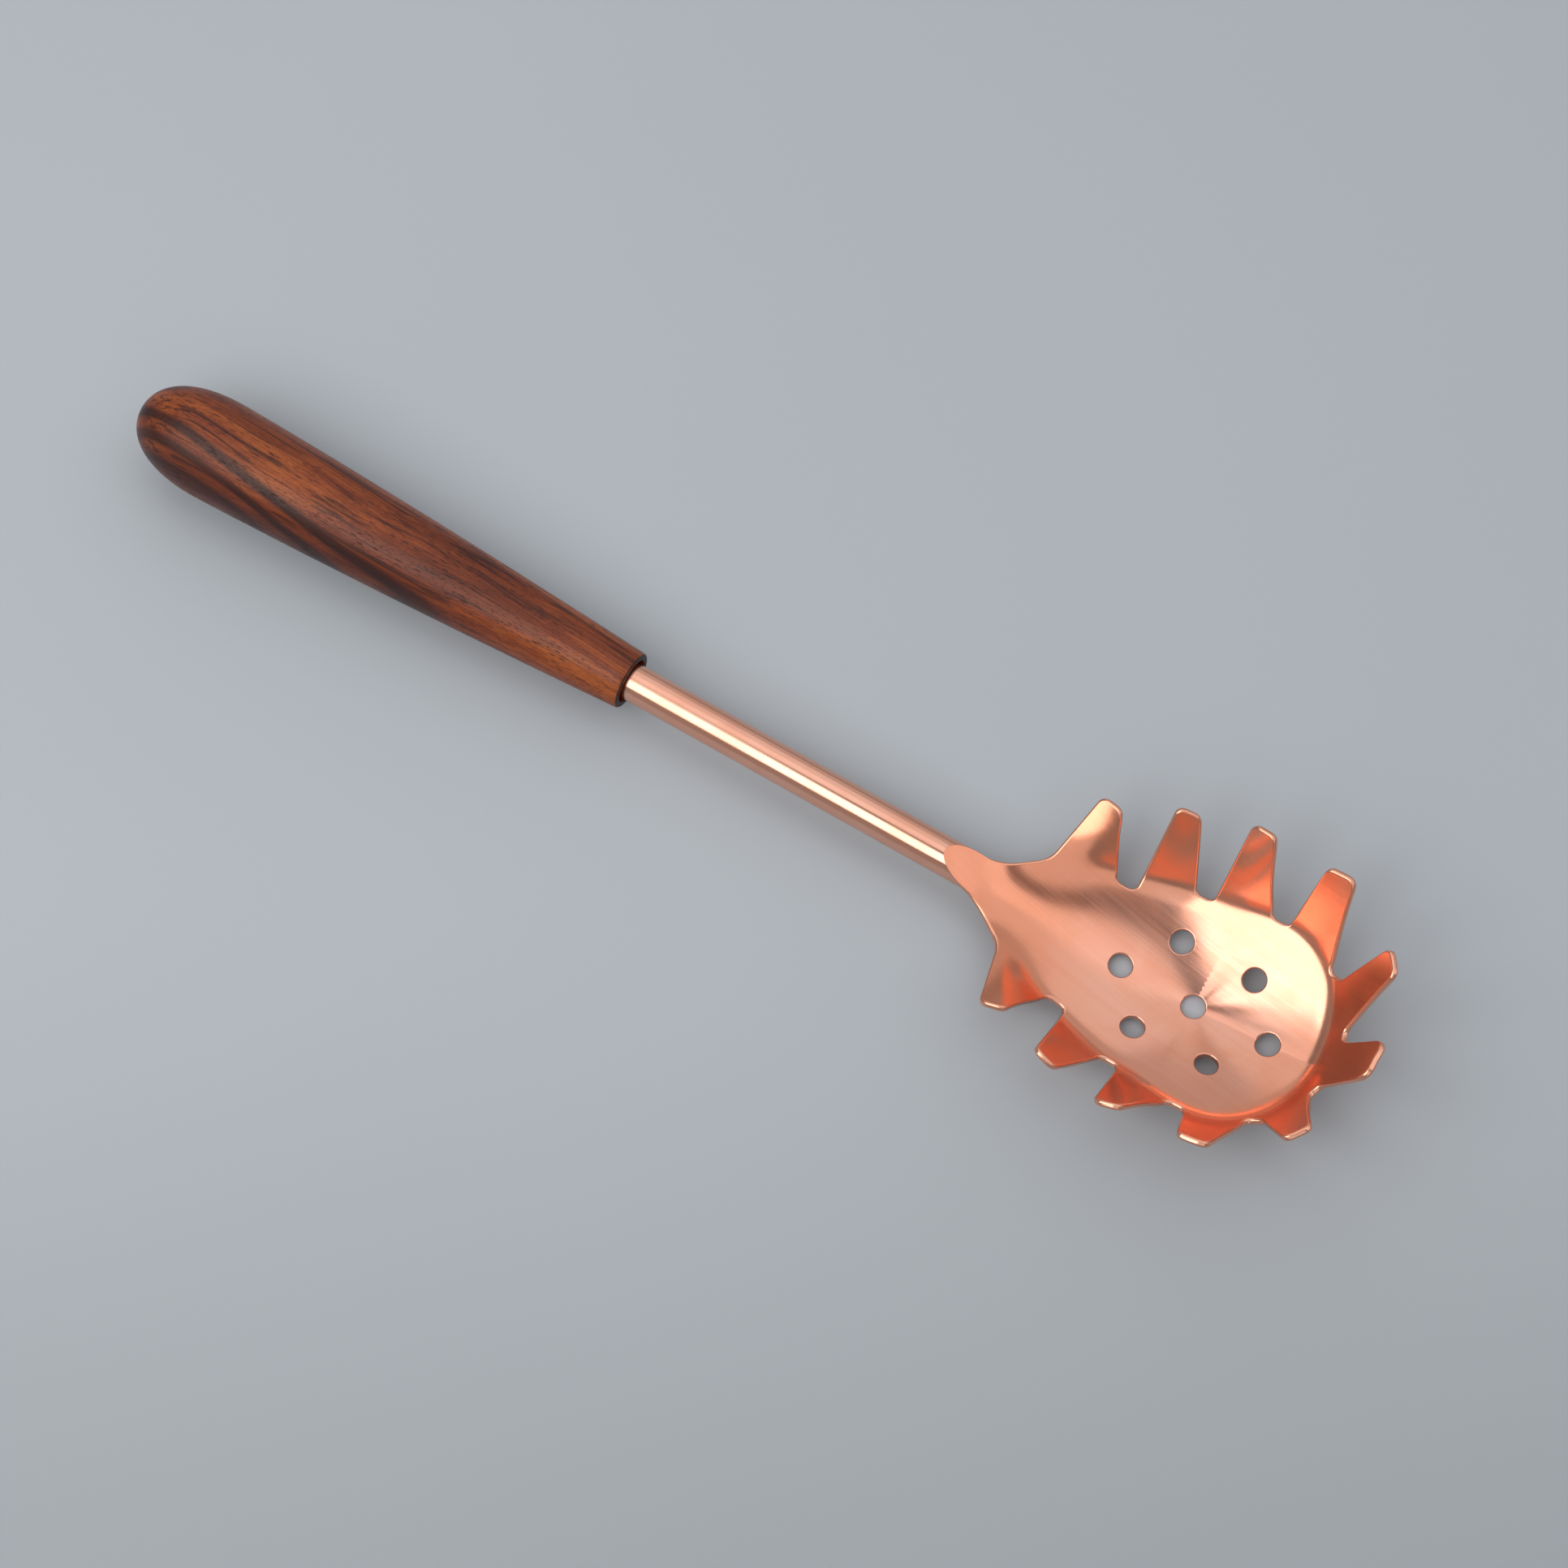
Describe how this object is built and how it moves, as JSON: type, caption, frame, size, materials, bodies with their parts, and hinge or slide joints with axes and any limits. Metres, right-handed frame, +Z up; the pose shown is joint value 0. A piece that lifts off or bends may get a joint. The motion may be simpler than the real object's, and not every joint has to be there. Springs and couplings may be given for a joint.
{
  "type": "pasta server",
  "caption": "Pasta server: pressed copper-finished bowl with drain holes and a rim of tines, on a round tube with a turned wooden handle.",
  "frame": {"origin": "on the table, under the middle of the server's length and width", "axes": "+X from the handle's butt to the front tine, +Y across the bowl, +Z up out of the bowl; the server lies at rest on its bowl and handle at z = 0"},
  "size_m": [0.3464, 0.0784, 0.0339],
  "materials": {
    "copper_sheet": "copper-plated steel sheet, polished with fine brushing",
    "copper_tube": "copper-plated steel tube, bright polish",
    "copper_braze": "ground braze under the copper plating",
    "handle_wood": "oiled reddish hardwood, satin",
    "resin": "cured epoxy resin"
  },
  "bodies": {
    "root": {"server_head": "copper_sheet", "shaft_tube": "copper_tube", "braze_fillet": "copper_braze", "handle_grip": "handle_wood", "bond_sleeve": "resin"}
  },
  "joints": []
}
